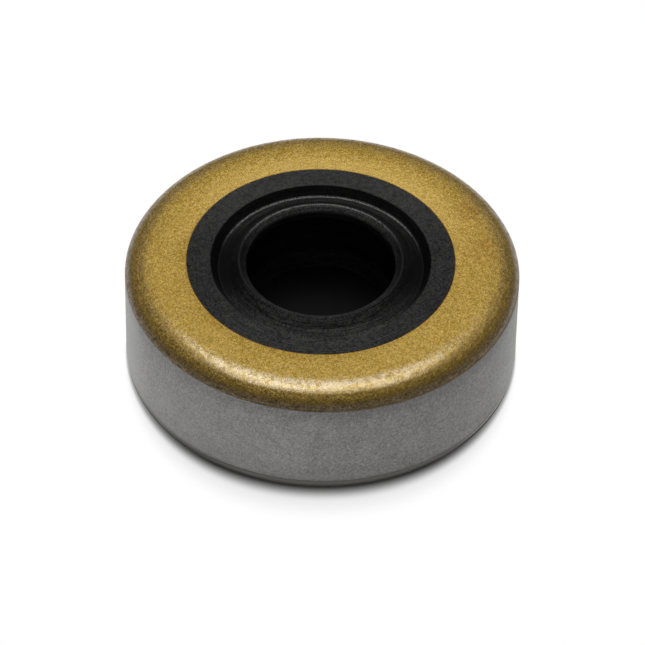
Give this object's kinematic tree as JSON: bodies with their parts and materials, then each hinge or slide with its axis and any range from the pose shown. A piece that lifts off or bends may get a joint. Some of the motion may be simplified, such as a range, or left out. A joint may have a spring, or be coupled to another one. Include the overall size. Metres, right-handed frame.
{
  "type": "radial shaft oil seal",
  "caption": "Metal-cased radial shaft seal: steel case with a rubber dust lip and a spring-loaded main lip.",
  "frame": {"origin": "on the seal's axis, in the plane of the back rim that it rests on", "axes": "+Z along the axis, from the oil side to the air side; the seal is round, so X and Y are free"},
  "size_m": [0.0262, 0.0262, 0.008],
  "materials": {
    "coated_steel_case": "drawn steel sheet with a gold-coloured bonding coat on the face and bend; bare ground steel on the cylindrical wall",
    "black_rubber": "black nitrile rubber, matt, with fine mould and trimming lines",
    "spring_steel": "close-wound bright spring wire"
  },
  "bodies": {
    "root": {"outer_case": "coated_steel_case", "sealing_element": "black_rubber", "garter_spring": "spring_steel"}
  },
  "joints": []
}
